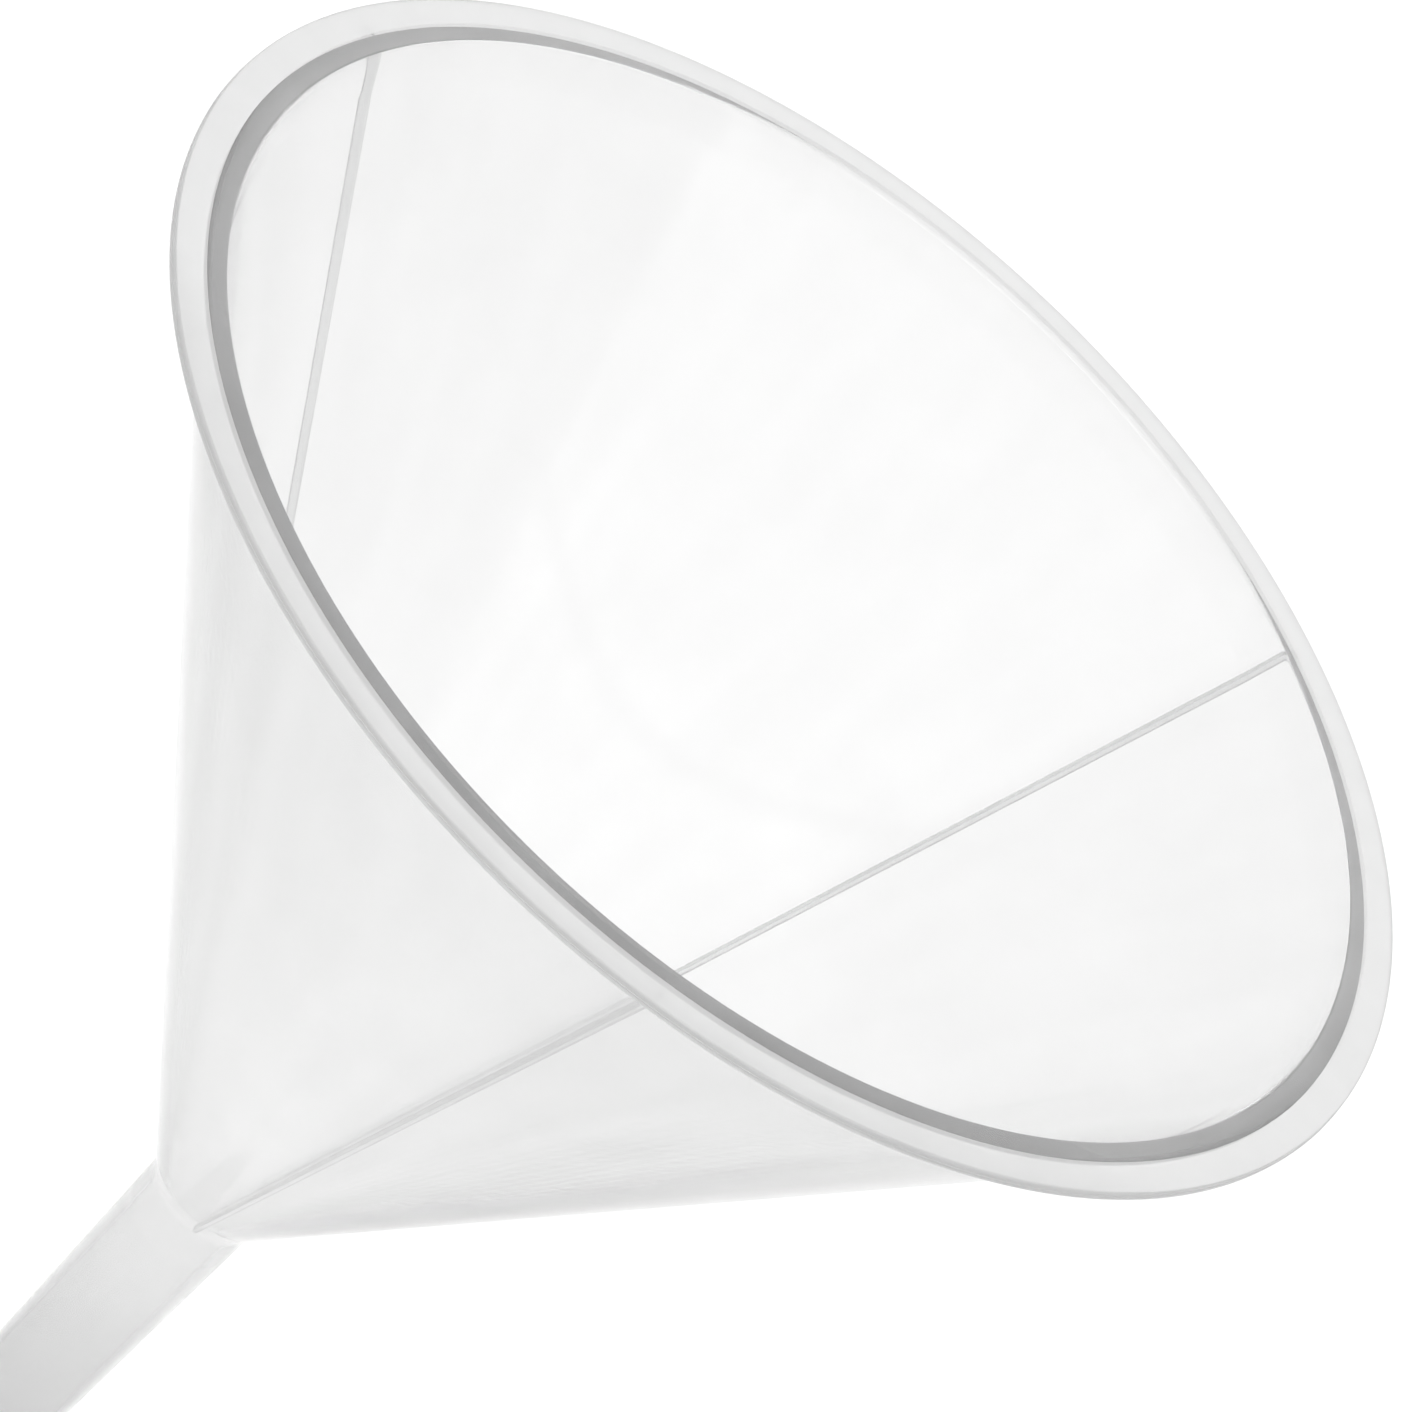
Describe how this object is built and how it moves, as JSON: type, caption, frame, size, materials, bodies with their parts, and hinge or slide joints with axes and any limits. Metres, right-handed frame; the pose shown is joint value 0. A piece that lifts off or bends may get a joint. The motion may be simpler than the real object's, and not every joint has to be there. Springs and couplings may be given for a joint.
{
  "type": "funnel",
  "caption": "Translucent plastic funnel: straight cone with flat rim flange, thin vent ribs down the outside and a narrow tapered stem, open at both ends.",
  "frame": {"origin": "on the axis, in the plane of the ring on the outside of the cone that rests in a 20 mm bottle mouth, 5.5 mm above the line where the cone meets the stem", "axes": "+Z along the axis, up out of the mouth; +X towards vent_rib_1, with the other two ribs mirrored across the XZ plane; the stem points along -Z"},
  "size_m": [0.15, 0.15, 0.183],
  "materials": {
    "rim_flange": "satin, milky translucent",
    "rim_collar": "satin, milky translucent",
    "bowl": "satin, milky translucent",
    "throat": "satin, milky translucent",
    "stem": "satin, milky translucent",
    "vent_rib_1": "satin, milky translucent",
    "vent_rib_2": "satin, milky translucent",
    "vent_rib_3": "satin, milky translucent"
  },
  "bodies": {
    "root": {"rim_flange": "rim_flange", "rim_collar": "rim_collar", "bowl": "bowl", "throat": "throat", "stem": "stem", "vent_rib_1": "vent_rib_1", "vent_rib_2": "vent_rib_2", "vent_rib_3": "vent_rib_3"}
  },
  "joints": []
}
